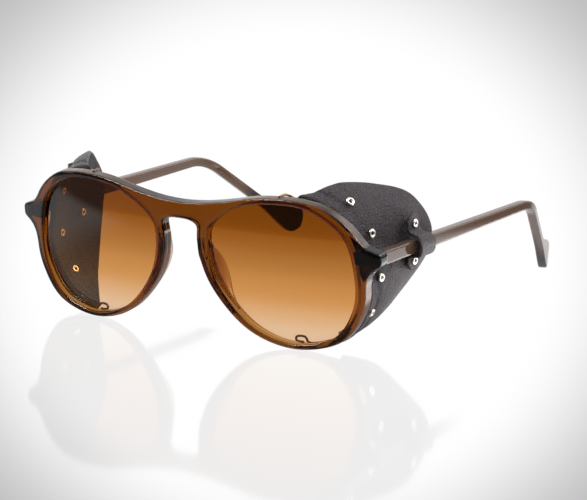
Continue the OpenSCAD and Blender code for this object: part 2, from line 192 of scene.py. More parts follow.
def weigh_normals(obj):
    """Flat faces stay flat beside their rounded edges."""
    obj.data.set_sharp_from_angle(angle=SHARP_FROM)
    weighted = obj.modifiers.new("weighted normals", "WEIGHTED_NORMAL")
    weighted.weight, weighted.keep_sharp = FLAT_WEIGHT, True
    bake(obj)


def shade_by(obj, key, values):
    """One number per vertex, for a material to read."""
    obj.data.attributes.new(key, "FLOAT", "POINT").data.foreach_set("value", values)


def skin(rings, caps=True):
    """Points and faces of a surface through a row of closed rings."""
    n, m = len(rings[0]), len(rings)
    faces = [(j * n + i, j * n + (i + 1) % n, (j + 1) * n + (i + 1) % n, (j + 1) * n + i)
             for j in range(m - 1) for i in range(n)]
    if caps:
        for first in (0, (m - 1) * n):
            faces += [(first + i, first + i + 1, first + n - 2 - i, first + n - 1 - i) for i in range(n // 2 - 1)]
    return np.vstack(rings), faces


print(len(skin(np.zeros((3, 8, 3)))[1]), "faces over 3 rings of 8 points")

# %% [markdown]
# ## Materials
# Acetate is a clear plastic that takes more colour the further light runs through
# it. A tinted surface would be quicker, but thin edges would look like thick ones. So
# the colour comes from absorption in the volume: thick parts darken and edges glow.

# %% Material helpers
def material(name, colour, roughness=0.4, metallic=0.0, **sockets):
    """A Principled material; more sockets by name."""
    mat = bpy.data.materials.new(name)
    mat.use_nodes = True
    shader = mat.node_tree.nodes["Principled BSDF"]
    plain = {"Base Color": (*colour, 1), "Roughness": roughness, "Metallic": metallic}
    for key, value in {**plain, **sockets}.items():
        shader.inputs[key.replace("_", " ")].default_value = value
    return mat, mat.node_tree, shader


def absorb(tree, through, thickness):
    """White light takes this colour over this thickness in millimetres."""
    rate = -np.log(np.array(through)) / (thickness * MM)
    volume = tree.nodes.new("ShaderNodeVolumeAbsorption")
    volume.inputs["Density"].default_value = rate.max()
    volume.inputs["Color"].default_value = (*(1 - rate / rate.max()), 1)
    tree.links.new(volume.outputs[0], tree.nodes["Material Output"].inputs["Volume"])


def object_place(tree):
    return tree.nodes.new("ShaderNodeTexCoord").outputs["Object"]


def parts(tree, vector):
    """X, Y and Z of a vector."""
    node = tree.nodes.new("ShaderNodeSeparateXYZ")
    tree.links.new(vector, node.inputs[0])
    return node.outputs


def ramp(tree, fac, stops, blend="LINEAR"):
    """Colours along a value, as (place, colour) stops."""
    node = tree.nodes.new("ShaderNodeValToRGB")
    band = node.color_ramp
    band.interpolation = blend
    while len(band.elements) < len(stops):
        band.elements.new(0.5)
    for element, (place, colour) in zip(band.elements, stops):
        element.position = place
        element.color = (*colour, 1)
    tree.links.new(fac, node.inputs["Fac"])
    return node.outputs["Color"]


def shaded(tree, shader, key, plain, dark):
    """A number stored on the mesh takes the base colour from plain to dark."""
    shade = tree.nodes.new("ShaderNodeAttribute")
    shade.attribute_name = key
    tree.links.new(ramp(tree, shade.outputs["Fac"], [(0.0, plain), (1.0, dark)]), shader.inputs["Base Color"])


print(len(bpy.data.materials), "materials came with the frame")

# %% [markdown]
# ## Acetate colours and painted shade
# The front is amber brown, and almost black at its end pieces. The temples are a duller taupe,
# with painted shade that darkens their tips. A second material could mark such a place, but its
# border would be hard. A number stored on each vertex lets one colour fade into another.

# %% Acetate
ACETATE_IOR = 1.47
BROWN, LUG_BROWN = (0.8, 0.63, 0.38), (0.1, 0.06, 0.035)
acetate, tree, shader = material("acetate_brown", BROWN, 0.04, Transmission_Weight=1.0, IOR=ACETATE_IOR)
absorb(tree, (0.25, 0.094, 0.012), FRONT_T)
shaded(tree, shader, "lug_shade", BROWN, LUG_BROWN)

# Painted shade takes the tips of the temples from this taupe towards near black.
TAUPE, TIP_PAINTED_SHADE = (0.235, 0.135, 0.088), (0.02, 0.015, 0.013)
taupe, tree, shader = material("acetate_taupe", TAUPE, 0.08, Transmission_Weight=0.6, IOR=ACETATE_IOR)
absorb(tree, (0.47, 0.32, 0.23), ARM_T)
shaded(tree, shader, "tip_painted_shade", TAUPE, TIP_PAINTED_SHADE)

# A dark line along each pad's ridge is painted shade, for the dark edge that refraction draws where the pad turns
# away.
PAD_PALE, PAD_RIDGE_SHADE = (0.85, 0.74, 0.62), (0.06, 0.03, 0.015)
pad_clear, tree, shader = material("acetate_pad", PAD_PALE, 0.05, Transmission_Weight=1.0, IOR=ACETATE_IOR)
absorb(tree, (0.5, 0.3, 0.16), FRONT_T)
shaded(tree, shader, "ridge", PAD_PALE, PAD_RIDGE_SHADE)
print("acetate:", acetate.name, taupe.name, pad_clear.name)

# %% [markdown]
# ## Lens tint
# A gradient lens is dipped in dye, so it is dark at the brow and pale at the cheek. An
# image could hold the gradient. A colour ramp over the height needs none, and each stop
# is set at the height where its colour is seen.

# %% Lens tint
TINT_LOW, TINT_HIGH = 0.001, 0.048
TINT_STOPS = [(0.0, (0.8, 0.54, 0.36)), (0.14, (0.78, 0.49, 0.27)), (0.3, (0.68, 0.33, 0.11)),
              (0.5, (0.53, 0.22, 0.048)), (0.76, (0.32, 0.098, 0.011)), (0.8, (0.24, 0.066, 0.004)),
              (1.0, (0.2, 0.052, 0.002))]
lens_tint, tree, shader = material("lens_gradient", (0.5, 0.24, 0.08), 0.02, Transmission_Weight=1.0, IOR=1.5)
share = tree.nodes.new("ShaderNodeMapRange")
share.inputs["From Min"].default_value = TINT_LOW
share.inputs["From Max"].default_value = TINT_HIGH
tree.links.new(parts(tree, object_place(tree))["Z"], share.inputs["Value"])
tree.links.new(ramp(tree, share.outputs["Result"], TINT_STOPS, "CARDINAL"), shader.inputs["Base Color"])
print(len(TINT_STOPS), "stops in the tint")

# %% [markdown]
# ## Leather and metal
# The leather is dark, polished and finely grained, and the eyelets are nickel plate. The
# grain could be sculpted, but it is finer than the mesh. So two layers of noise bump
# the surface, one fine and one broad.

# %% Leather and metal
GRAIN_LAYERS = [(1900, 1.0, 0.001), (420, 0.25, 0.0008)]
leather, tree, shader = material("leather_dark", (0.015, 0.01, 0.0125), 0.37, Specular_IOR_Level=0.7,
                                 Specular_Tint=(1, 0.9, 0.96, 1))


def bumps(tree, shader, layers):
    """Noise bumps: scale per metre, strength, depth in metres."""
    normal = None
    for scale, strength, depth in layers:
        grain = tree.nodes.new("ShaderNodeTexNoise")
        grain.inputs["Scale"].default_value = scale
        grain.inputs["Detail"].default_value = 3
        tree.links.new(object_place(tree), grain.inputs["Vector"])
        bump = tree.nodes.new("ShaderNodeBump")
        bump.inputs["Strength"].default_value = strength
        bump.inputs["Distance"].default_value = depth
        tree.links.new(grain.outputs["Fac"], bump.inputs["Height"])
        if normal:
            tree.links.new(normal, bump.inputs["Normal"])
        normal = bump.outputs["Normal"]
    tree.links.new(normal, shader.inputs["Normal"])


bumps(tree, shader, GRAIN_LAYERS)
nickel = material("nickel_plate", (0.86, 0.8, 0.7), 0.16, 1.0)[0]
steel = material("hinge_steel", (0.12, 0.11, 0.11), 0.35, 1.0)[0]
bronze = material("wire_bronze", (0.2, 0.12, 0.07), 0.3, 1.0)[0]
core_steel = material("core_steel", (0.2, 0.16, 0.14), 0.6, 0.2)[0]
print(len(bpy.data.materials), "materials")

# %% [markdown]
# ## Acetate front
# The front is milled from one sheet of acetate: two rims, a keyhole bridge and two end
# pieces. Boolean cuts with a bevel could make it, but thin rims bevel badly. So one
# outline is taken round all parts, both faces are filled, and a wall with rounded
# edges joins them. Every point is then bent to the bow and leant back.

# %% Closed lines
def resample(loop, step):
    """The same closed line with points at even steps."""
    ring = np.vstack([loop, loop[:1]])
    run = np.concatenate([[0], np.cumsum(np.linalg.norm(np.diff(ring, axis=0), axis=1))])
    at = np.linspace(0, run[-1], int(round(run[-1] / step)), endpoint=False)
    return np.stack([np.interp(at, run, ring[:, k]) for k in range(ring.shape[1])], 1)


def relax(loop, rounds):
    """A smoother line."""
    for _ in range(rounds):
        loop = 0.5 * loop + 0.25 * (np.roll(loop, 1, 0) + np.roll(loop, -1, 0))
    return loop


def clockwise(loop):
    area = np.sum(loop[:, 0] * np.roll(loop[:, 1], -1) - loop[:, 1] * np.roll(loop[:, 0], -1))
    return loop if area < 0 else loop[::-1]


def outward(loop):
    """Normals to the right of a closed line's way round."""
    way = unit(np.roll(loop, -1, 0) - np.roll(loop, 1, 0))
    return np.stack([way[:, 1], -way[:, 0]], 1)


square = np.array([(0, 0), (1, 0), (1, 1), (0, 1)], float)
print(len(resample(square, 0.1)), "points round a square")

# %% Fills and outlines by triangles
MERGE_NEAR = 1e-5


def numbered(loops):
    """The points of several loops counted through."""
    starts = np.cumsum([0] + [len(p) for p in loops])
    return [list(range(a, b)) for a, b in zip(starts, starts[1:])]


def fill(loops, gap):
    """Triangles inside the first loop and outside the others, with inner points at a gap."""
    edge = np.vstack(loops)
    low, high = edge.min(0), edge.max(0)
    across, up = np.meshgrid(np.arange(low[0], high[0], gap), np.arange(low[1], high[1], gap))
    grid = np.stack([across.ravel(), up.ravel()], 1)
    free = [g for g in grid if np.min(np.sum((edge - g) ** 2, 1)) > (0.6 * gap) ** 2]
    rings = numbered(loops)
    rings = rings[:1] + [r[::-1] for r in rings[1:]]
    made = delaunay_2d_cdt([Vector(p) for p in np.vstack([edge, free])], [], rings, 1, MERGE_NEAR)
    tris = [tuple(f) for f, owner in zip(made[2], made[5]) if list(owner) == [0]]
    return np.array([v[:] for v in made[0]]), tris


def union_outline(polygons):
    """Outer line of several overlapping polygons."""
    polygons = [clockwise(p)[::-1] for p in polygons]
    made = delaunay_2d_cdt([Vector(p) for p in np.vstack(polygons)], [], numbered(polygons), 1, MERGE_NEAR)
    follow = {}
    for tri, owner in zip(made[2], made[5]):
        if owner:
            follow.update(dict.fromkeys(zip(tri, tri[1:] + tri[:1])))
    after = {a: b for a, b in follow if (b, a) not in follow}
    start = min(after, key=lambda i: made[0][i].y)
    line = [start]
    while after[line[-1]] != start:
        line.append(after[line[-1]])
    return np.array([made[0][i][:] for i in line])


print(len(union_outline([square, square + 0.5])), "corners round two squares")

# %% Rims, bridge and end pieces
LENS_SHAPE = [(1, 0), (0.89, 0.57), (0.49, 0.925), (0.03, 1), (-0.48, 0.92), (-0.915, 0.62),
              (-1, 0.28), (-0.86, -0.26), (-0.44, -0.79), (0.11, -1), (0.67, -0.87), (0.945, -0.46)]
BRIDGE_TOP, KEYHOLE_TOP, LUG_LOW, LUG_HIGH = 20.35, 14.85, 4.45, 9.15
LUG_OUT, LUG_CORNER, LUG_CUT = HALF_W + 0.4, 1.1, 0.3


def rim_points(s, grow):
    """Points round a lens, grown outwards, nosewards, up and down."""
    p = spline(LENS_SHAPE, s, closed=True)
    gx = np.where(p[:, 0] > 0, grow[0], grow[1])
    gy = np.where(p[:, 1] > 0, grow[2], grow[3])
    return np.stack([LENS_X + p[:, 0] * (LENS_W / 2 + gx), p[:, 1] * (LENS_H / 2 + gy)], 1)


def rim_loop(grow):
    return rim_points(np.arange(0, len(LENS_SHAPE), 0.05), grow)


def sampled(points, step=0.1):
    return spline(points, np.arange(0, len(points) - 1 + step / 2, step))


bridge_half = np.vstack([
    sampled([(0, BRIDGE_TOP), (7, BRIDGE_TOP + 0.35), (14, 21.65), (22, 23.1), (31, 24.5)]),
    [(30, 23), (16, 16), (10.5, 8), (10, 2.5)],
    sampled([(6.6, 2.5), (6.4, 5.4), (7.9, 9.6), (7.4, 12.6), (4.2, KEYHOLE_TOP - 0.25), (0, KEYHOLE_TOP)])])
end_piece = np.vstack([
    sampled([(42.5, 24.2), (49.6, 23.4), (55.2, 20.35), (59.8, 16.3), (62.3, 12.7), (64.2, 10.75),
             (66.2, 9.9), (LUG_OUT - LUG_CORNER, LUG_HIGH)]),
    [(LUG_OUT - LUG_CUT, LUG_HIGH - LUG_CUT), (LUG_OUT, LUG_HIGH - LUG_CORNER),
     (LUG_OUT, LUG_LOW + LUG_CORNER), (LUG_OUT - LUG_CUT, LUG_LOW + LUG_CUT)],
    sampled([(LUG_OUT - LUG_CORNER, LUG_LOW), (66, 2.75), (64.75, 1), (64, -1.4), (63.5, -5), (61.8, -11)]),
    [(59, -11), (58, 0), (55, 18), (48, 21.6)]])
print(len(bridge_half), "bridge points,", len(end_piece), "end piece points")

# %% Outline of the front
FLIP, OUTLINE_STEP = (-1, 1), 0.3
CRISP_FROM, CRISP_OVER, SOFT_ROUNDS, CRISP_ROUNDS = 62.5, 2.5, 33, 6
bridge = np.vstack([bridge_half, (bridge_half * FLIP)[-2:0:-1]])
sides = [rim_loop(RIM_GROW), end_piece]
outline = resample(union_outline([bridge] + sides + [p * FLIP for p in sides]), OUTLINE_STEP)
crisp = np.clip((np.abs(outline[:, :1]) - CRISP_FROM) / CRISP_OVER, 0, 1)
outline = relax(outline, SOFT_ROUNDS) * (1 - crisp) + relax(outline, CRISP_ROUNDS) * crisp
opening = resample(rim_loop((0, 0, 0, 0)), OUTLINE_STEP)
print(len(outline), "outline points,", len(opening), "round each opening")

# %% Walls of the front
EDGE_R, BACK_R, EDGE_STEPS = 0.8, 0.15, 5
GROOVE, GROOVE_PLAY = 0.8, 0.05


def lens_sag(u, w, radius):
    """Depth of a lens's sphere behind the front's plane."""
    turned = math.asin(LENS_X / FRONT_R)
    reach = LENS_R + LENS_DEPTH
    x = LENS_X - reach * math.sin(turned)
    y = bow(LENS_X, 0) + reach * math.cos(turned)
    return y - np.sqrt(radius**2 - (np.abs(u) - x) ** 2 - w**2)


def groove_depth(loop, radius):
    """Depth of the same sphere inside the bowed front."""
    u, w = loop.T
    return FRONT_R - np.sqrt((FRONT_R - lens_sag(u, w, radius)) ** 2 + u**2)


def wall(loop, back_radius, groove=False):
    """Rings from the front face over both rounded edges to the back face."""
    normal = outward(loop)
    turns = np.linspace(0, math.pi / 2, EDGE_STEPS)
    rings = [(loop - normal * EDGE_R * (1 - math.sin(a)), EDGE_R * (1 - math.cos(a))) for a in turns]
    if groove:
        ahead = groove_depth(loop, LENS_R) - GROOVE_PLAY
        behind = groove_depth(loop, LENS_R - LENS_T) + GROOVE_PLAY
        deep = loop - normal * GROOVE
        rings += [(loop, ahead), (deep, ahead), (deep, behind), (loop, behind)]
    rings += [(loop - normal * back_radius * (1 - math.cos(a)), FRONT_T - back_radius * (1 - math.sin(a)))
              for a in turns]
    return rings


outer = clockwise(outline)[::-1]
holes = [clockwise(opening), clockwise(opening * FLIP)]
walls = [wall(outer, EDGE_R)] + [wall(h, BACK_R, groove=True) for h in holes]
print([len(rings) for rings in walls], "rings in the walls")

# %% Front mesh
FILL_GAP, LUG_DARK_FROM, LUG_DARK_OVER = 1.1, 65.0, 3.5


def placed(flat, depth):
    return row(*leaning(flat[:, 0], flat[:, 1], depth))


points, faces = [], []
count = 0
for rings in walls:
    made, quads = skin([placed(flat, depth) for flat, depth in rings], caps=False)
    points.append(made)
    faces += [[count + i for i in q] for q in quads]
    count += len(made)
for end, depth in ((0, 0.0), (-1, FRONT_T)):
    flat, tris = fill([rings[end][0] for rings in walls], FILL_GAP)
    points.append(placed(flat, depth))
    faces += [[count + i for i in t] for t in tris]
    count += len(flat)
front = new_object("acetate_front", np.vstack(points), faces, acetate)
shade_by(front, "lug_shade", [min(1, max(0, (abs(v.co.x) / MM - LUG_DARK_FROM) / LUG_DARK_OVER))
                              for v in front.data.vertices])
weigh_normals(front)
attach(front, "front")
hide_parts("frame_front")
tell(front)

# %% [markdown]
# ## Lenses
# A lens is sprung into a groove in the rim. A flat disc would be simpler, but it would
# reflect as a window pane does. Each lens is a slab between two spheres with one
# centre, so it hardly bends what is seen through it. The thin gap of air round its edge
# draws the dark line that real glazing shows.

# %% Lens meshes
LENS_GAP = 1.5


def lens_face(flat, radius, side):
    u, w = flat[:, 0], flat[:, 1]
    y = lens_sag(u, w, radius)
    return row(side * u, y * COS - w * SIN, w * COS + y * SIN)


for name, side in SIDES.items():
    loop = clockwise(opening)[::-1]
    loop = loop + outward(loop) * (GROOVE - GROOVE_PLAY)
    flat, tris = fill([loop], LENS_GAP)
    n = len(flat)
    made, quads = skin([lens_face(loop, LENS_R, side), lens_face(loop, LENS_R - LENS_T, side)], caps=False)
    points = np.vstack([lens_face(flat, LENS_R, side), lens_face(flat, LENS_R - LENS_T, side), made])
    faces = tris + [[n + i for i in t] for t in tris] + [[2 * n + i for i in q] for q in quads]
    lens = new_object(f"lens_glass_{name}", points, faces, lens_tint)
    weigh_normals(lens)
    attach(lens, "front")
    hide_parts(f"lens_{name}")
    tell(lens)

# %% [markdown]
# ## Nose pads
# A pad is a tongue of acetate on the back of the rim, highest in its middle, that
# splays out along the nose. It could be sculpted, but the other side would need the same
# work again. So sections along the rim's own curve are joined, and it sits on the rim.

# %% Pad meshes
PAD_REACH = [(5.85, 0), (6.1, 1.4), (6.3, 3.3), (6.56, 4.8), (6.8, 4.8), (7.0, 4.0), (7.25, 2.0), (7.45, 0.6),
             (7.6, 0)]
PAD_NOSE_EDGE, PAD_LENS_EDGE = (0, 3.3, 1.6, 1.5), (0.2,) * 4
PAD_SPLAY, PAD_GAP, PAD_ROUND, PAD_THIN = 0.22, 0.02, 0.8, 0.02
RIDGE_AT, RIDGE_W, ARCH_POINTS, PAD_RINGS = 1.95, 0.13, 33, 48

for name, side in SIDES.items():
    rings = []
    a = np.linspace(0, math.pi, ARCH_POINTS)
    share = ((1 - np.cos(a)) / 2)[:, None]
    for s, reach in spline(PAD_REACH, np.linspace(0, len(PAD_REACH) - 1, PAD_RINGS)):
        nose_edge, lens_edge = rim_points([s], PAD_NOSE_EDGE), rim_points([s], PAD_LENS_EDGE)
        flat = nose_edge + (lens_edge - nose_edge) * share
        back = max(PAD_THIN, reach) * np.sin(a) ** PAD_ROUND
        u, y, z = leaning(flat[:, 0] + PAD_SPLAY * back, flat[:, 1], FRONT_T + PAD_GAP + back)
        rings.append(row(side * u, y, z))
    points, faces = skin(rings)
    pad = new_object(f"pad_{name}", points, faces, pad_clear)
    # painted shade along the ridge, where the pad's edge is seen from the front
    shade_by(pad, "ridge", np.tile(np.exp(-((a - RIDGE_AT) / RIDGE_W) ** 2), len(rings)))
    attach(pad, "front")
    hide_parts(f"nose_pad_{name}")
    tell(pad)

# %% [markdown]
# ## Temples
# A temple is a bar of acetate over a metal core, bent down and in behind the ear, with
# a paddle at its tip. A bevelled curve keeps one section all along, while this
# section is a rounded rectangle that narrows and then swells. So rings are set at
# stations along the path and joined.

# %% Temple path
ARM_LEN, BEND_LEN, TIP_LEN, BEND_H, TIP_T, TIP_TURN, PADDLE_W = 86.5, 15.0, 43.0, 3.2, 3.1, 21.0, 10.0
arm_run = HINGE_BACK + ARM_LEN - ARM_START
bend_up = ARM_UP - ARM_H / 2 - arm_run * math.sin(math.radians(ARM_PITCH))
drop = math.radians(35)
for _ in range(12):
    drop = math.asin((LENS_UP + bend_up - BEND_LEN * (1 - math.cos(drop)) / drop) / TIP_LEN)
TIP_DROP = math.degrees(drop)


def turned(f):
    """Ahead, aside and up at a share f of the ear bend."""
    h = np.radians(ARM_TOE + (TIP_TURN - ARM_TOE) * f)
    p = np.radians(ARM_PITCH + (TIP_DROP - ARM_PITCH) * f)
    ahead = np.array([-math.sin(h) * math.cos(p), math.cos(h) * math.cos(p), -math.sin(p)])
    aside = np.array([math.cos(h), math.sin(h), 0])
    return ahead, aside, np.cross(aside, ahead)


print("tip drop", round(TIP_DROP, 2), "degrees")

# %% Temple stations
TIP_SWELL = [0, 0, 0, 0, 0, 0, 0.04, 0.2, 0.5, 0.82, 1, 1]
TIP_DIP, TIP_LIFT, ROUND_FROM, END_SHARE = 0.22, 0.42, 0.89, 0.14
THIN_FROM, THIN_BY = 0.9, 0.18
ARM_STEPS, BEND_STEPS, TIP_STEPS = 13, 24, 54
stations = []
at = np.array([ARM_X, ARM_START, ARM_UP - ARM_H / 2])
for f in np.linspace(0, 1, ARM_STEPS + 1)[:-1]:
    stations.append((at + f * arm_run * turned(0)[0], 0, ARM_H + (BEND_H - ARM_H) * f, ARM_T + (TIP_T - ARM_T) * f))
at = at + arm_run * turned(0)[0]
for i in range(BEND_STEPS + 1):
    f = i / BEND_STEPS
    stations.append((at, f, BEND_H, TIP_T))
    if i < BEND_STEPS:
        at = at + BEND_LEN / BEND_STEPS * turned(f + 0.5 / BEND_STEPS)[0]
end_steps = ROUND_FROM + (1 - ROUND_FROM) * np.sin(np.linspace(0, math.pi / 2, TIP_STEPS // 3))
ahead, _, rise = turned(1)
for f in np.concatenate([np.linspace(0, ROUND_FROM, TIP_STEPS)[1:], end_steps[1:]]):
    swell = (PADDLE_W - BEND_H) * spline(TIP_SWELL, f * (len(TIP_SWELL) - 1))[0]
    share = math.sqrt(max(0, 1 - (max(0, f - ROUND_FROM) / (1 - ROUND_FROM)) ** 2))
    high = (BEND_H + swell) * max(END_SHARE, share)
    low = at + f * TIP_LEN * ahead + (TIP_LIFT * (BEND_H + swell - high) - TIP_DIP * swell) * rise
    stations.append((low, 1, high, TIP_T * (1 - THIN_BY * max(0, (f - THIN_FROM) / (1 - THIN_FROM)) ** 2)))
print(len(stations), "temple stations")

# %% Temple rings
ARM_EDGE, CORNER_STEPS, BUTT_GAP = 0.7, 5, 0.15


def bar_ring(station, shrink=0.0):
    """The rounded rectangle at a station."""
    place, f, high, thick = station
    _, aside, rise = turned(f)
    r = max(0.05, min(ARM_EDGE, high / 2 - 0.1) - shrink)
    a, b = thick / 2 - shrink - r, high / 2 - shrink - r
    ring = []
    for corner, (sx, sz) in enumerate([(-1, -1), (1, -1), (1, 1), (-1, 1)]):
        for k in np.linspace(0, 90, CORNER_STEPS):
            q = math.radians(180 + 90 * corner + k)
            ring.append(place + (sx * a + r * math.cos(q)) * aside + (high / 2 + sz * b + r * math.sin(q)) * rise)
    return np.array(ring)


def cut_to_front(ring):
    """Points moved to the butt joint behind the end piece."""
    y = bow(ring[:, 0], FRONT_T + BUTT_GAP)
    w = (ring[:, 2] - y * SIN) / COS
    out = ring.copy()
    out[:, 1] = y * COS - w * SIN
    return out


print(len(bar_ring(stations[0])), "points in a ring")

# %% Temple meshes
END_ROUND, END_STEPS = 0.2, 6
# Painted shade on the tips: where it starts on each face of the bar (inner faces first, the outer top last), and
# the run over which it deepens.
TIP_DARK_FROM, TIP_DARK_OVER = [122.0, 133.0, 146.0, 122.0], 5
for name, side in SIDES.items():
    rings = [cut_to_front(bar_ring(stations[0]))] + [bar_ring(s) for s in stations[1:]]
    last, ahead = stations[-1], turned(1)[0]
    for a in np.linspace(0, math.pi / 2, END_STEPS)[1:]:
        end = (last[0] + END_ROUND * math.sin(a) * ahead, *last[1:])
        rings.append(bar_ring(end, END_ROUND * (1 - math.cos(a))))
    points, faces = skin([mirrored(r, side) for r in rings])
    temple = new_object(f"temple_bar_{name}", points, faces, taupe)
    run = points[:, 1] / MM - FRONT_Y
    dark_from = np.tile(np.repeat(TIP_DARK_FROM, CORNER_STEPS), len(rings))
    shade_by(temple, "tip_painted_shade", np.clip((run - dark_from) / TIP_DARK_OVER, 0, 1))
    weigh_normals(temple)
    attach(temple, f"temple_{name}")
    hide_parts(f"temple_{name}")
    tell(temple)

# %% [markdown]
# ## Hinges and cores
# The hinges, their screws and the cores in the temples are metal. They could be built
# again, but their CAD solids already have the right shape. So they only get materials,
# a dull one for the cores, which are seen through the acetate.

# %% Materials of the CAD's metal
metal = [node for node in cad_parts.values() if node.name.startswith(("hinge_", "temple_core"))]
for node in metal:
    node.data.materials.clear()
    node.data.materials.append(steel if node.name.startswith("hinge_") else core_steel)
print(len(metal), "CAD nodes in metal")

# %% [markdown]
# ## Side shields
# A shield is one piece of leather. It is folded inward round a wire behind the rim, and
# free at its other edge. Cloth simulation could drape it, but this leather is stiff
# and keeps a known shape. So a thick sheet with a hem and cut edges is lofted from the
# wire to the free edge.

# %% Lines of the leather
WIRE_DEPTH, HEM_FROM, HEM_TO, STATIONS, BULGE, BULGE_LEN = 2.0, 2.6, -2.7, 9, 1.6, 28.0
HEM_OUT, HEM_IN, HINGE_STATION, HINGE_SPAN = (1.6, 0, 1.3, 1.4), (-0.8, 0, -0.3, -0.3), 3.5, 1.0
FREE_EDGE = [(44, 9.5, 25.6), (49, 17, 28), (56, 27.5, 26.4), (61.2, 36.5, 22.5), (63.55, 44.5, 12),
             (63.35, 43.8, 3), (59.5, 37, -7.3), (54.3, 29, -16.2), (48.2, 21.5, -19.6), (42.5, 14.5, -21.4)]
EDGE_SHIFT = {"left": [(0, 0, 0.4), (0, 0, 0.5), (0, 0.5, 0.5), (0.2, 1.5, 0.4), (0.1, 2.2, 0.3), (0, 1.4, 0.2)],
              "right": [(0, 0, -0.6), (0, 0, -1.5), (-0.4, -0.5, -1.0), (-0.3, -0.8, -0.6)]}
free_edges = {}
for name, shift in EDGE_SHIFT.items():
    free_edges[name] = np.array(FREE_EDGE, float)
    free_edges[name][:len(shift)] += shift


def hem_points(j):
    """The wire's line, which dives in behind the end piece."""
    s = HEM_FROM + (HEM_TO - HEM_FROM) * np.atleast_1d(j) / STATIONS
    near_hinge = np.exp(-(((np.atleast_1d(j) - HINGE_STATION) / HINGE_SPAN) ** 2))
    p = rim_points(s, HEM_OUT) * (1 - near_hinge)[:, None] + rim_points(s, HEM_IN) * near_hinge[:, None]
    return np.stack(leaning(p[:, 0], p[:, 1], FRONT_T + WIRE_DEPTH), 1)


def leather_frame(j, name):
    """Hem point, way to the free edge, its length, and the outward normal."""
    line = free_edges[name]
    hem, edge = hem_points(j), spline(line, j)
    near, far = np.maximum(0, j - 0.2), np.minimum(STATIONS, j + 0.2)
    along = (spline(line, far) + hem_points(far)) - (spline(line, near) + hem_points(near))
    way = unit(edge - hem)
    return hem, way, np.linalg.norm(edge - hem, axis=1), unit(np.cross(along, way))


def leather_points(j, e, n, name):
    """Points e behind the wire and n off the middle of the leather."""
    hem, way, length, normal = leather_frame(np.asarray(j, float), name)
    f = np.maximum(0, e / length)
    full = BULGE * np.minimum(1, length / BULGE_LEN)
    return hem + e[:, None] * way + (n + 4 * full * f * (1 - f))[:, None] * normal


for name in SIDES:
    print(name, "shield up to", leather_frame(np.arange(10.0), name)[2].max().round(1), "mm deep")

# %% Section of the leather
FLAP, FLAP_SHARE, HEM_R, CUT_ROUND = 9.0, 0.42, 1.2, 0.15
FOLD_OVER, CREASE, CREASE_AT, CREASE_W = 3.2, 0.5, 3.4, 0.6
BROAD_WAVE, FINE_WAVE, WAVE_FADE = (0.16, 2.3, 0.35, 1.7), (0.07, 7, 0.5, 4.1), 9
FACE_STEPS, FLAP_STEPS, TURN_STEPS = 26, 16, 11


def wave(size, j, e):
    high, along, across, layer = size
    return high * noise.noise((along * j, across * e, layer))


def wrinkle(j, e):
    """Unevenness of the leather, most near the hem."""
    return np.array([wave(BROAD_WAVE, a, b) + wave(FINE_WAVE, a, b) * math.exp(-max(0, b) / WAVE_FADE)
                     for a, b in zip(j, e)])


def fold(e):
    """The opening round the wire, with a crease behind it."""
    return np.maximum(0, 1 - e / FOLD_OVER) ** 2 - CREASE * np.exp(-((e - CREASE_AT) / CREASE_W) ** 2)


def leather_section(j, name):
    """Closed section: outer face, fold round the wire, hem flap, inner face, cut edge."""
    length = leather_frame(np.array([j]), name)[2][0]
    flap = min(FLAP, FLAP_SHARE * length)
    t = LEATHER / 2
    outer_e = np.concatenate([np.linspace(length - CUT_ROUND, flap, FACE_STEPS)[:-1],
                              np.linspace(flap, 0, FLAP_STEPS)])
    turn = np.linspace(0, math.pi, TURN_STEPS)[1:-1]
    flap_e = np.linspace(0, flap, FLAP_STEPS)
    inner_e = np.linspace(flap + CUT_ROUND, length - CUT_ROUND, FACE_STEPS)
    e = np.concatenate([outer_e, -HEM_R * np.sin(turn), flap_e, inner_e, [length, length]])
    n = np.concatenate([t + (HEM_R - t) * fold(outer_e), HEM_R * np.cos(turn),
                        -3 * t + (3 * t - HEM_R) * fold(flap_e), np.full(FACE_STEPS, -t), [-0.5 * t, 0.5 * t]])
    return leather_points(np.full(len(e), j), e, n + wrinkle(np.full(len(e), j), e), name)


print(len(leather_section(4.0, "left")), "points in a section")

# %% Leather meshes
PANEL_STEPS, PANEL_END = 120, {"left": 8.1, "right": 9.0}
FOLD_FROM, FOLD_TO = 14.0, 33.0


def bend_with_arm(obj):
    """The object's placement is baked into its mesh."""
    start, end = row(HALF_W, FOLD_FROM, 0), row(HALF_W, FOLD_TO, 0)
    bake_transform(obj)


for name, side in SIDES.items():
    rings = [mirrored(leather_section(j, name), side) for j in np.linspace(0, PANEL_END[name], PANEL_STEPS)]
    points, faces = skin(rings)
    panel = new_object(f"leather_panel_{name}", points, faces, leather)
    bend_with_arm(panel)
    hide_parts(f"shield_panel_{name}")
    tell(panel)

# %% [markdown]
# ## Wire frames
# A springy wire carries each shield. It hooks over the rim at the brow, follows the
# hem and ends below in a loop. A curve with a round bevel would look the same. Rings
# along a path give the mesh at once, and turn only as far as the path turns.

# %% Wire meshes
WIRE_R, WIRE_SIDES, WIRE_TO, WIRE_STEP = 0.38, 14, 8.2, 0.3
TOP_HOOK = [(35.8, -2, 24.85), (36.2, 0.6, 24.9), (37, 2, 24.2), (39, 2, 23.4)]
LOW_LOOP = [(46, 1, -23), (43, 0.9, -23.4), (41, 1.2, -23.2), (40.3, 1.6, -22.4), (39.5, 1.8, -21.8),
            (38, 1.8, -21.7), (36.9, 1.7, -22), (36.7, 1.5, -22.8), (37.5, 1.3, -23.3), (39.5, 1.2, -23.4)]


